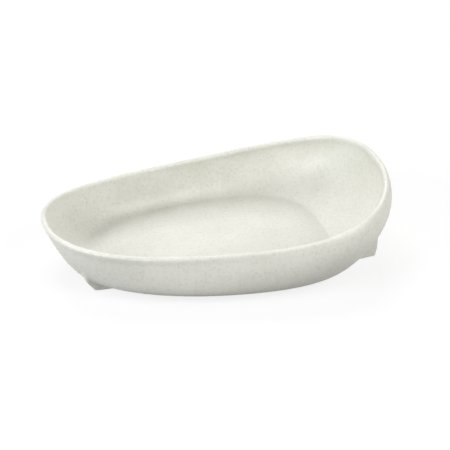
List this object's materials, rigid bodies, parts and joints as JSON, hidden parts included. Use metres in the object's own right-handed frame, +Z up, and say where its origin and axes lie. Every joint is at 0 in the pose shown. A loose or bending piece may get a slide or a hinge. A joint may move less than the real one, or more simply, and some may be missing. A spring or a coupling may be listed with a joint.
{
  "type": "scoop plate",
  "caption": "Egg-shaped scoop plate with low sides for the spoon and a high end that curves back over the inside, standing on end feet with rubber grip pads.",
  "frame": {"origin": "on the table, under the middle of the plate's bounding box", "axes": "+X from the low end to the high end, +Y across the plate to its back side, +Z up from the table"},
  "size_m": [0.233, 0.1596, 0.06],
  "materials": {
    "speckled_plastic": "satin off-white with fine grey-brown specks",
    "grip_rubber": "matte"
  },
  "bodies": {
    "root": {"dish": "speckled_plastic", "pad_low_front": "grip_rubber", "pad_low_back": "grip_rubber", "pad_high_front": "grip_rubber", "pad_high_back": "grip_rubber"}
  },
  "joints": []
}
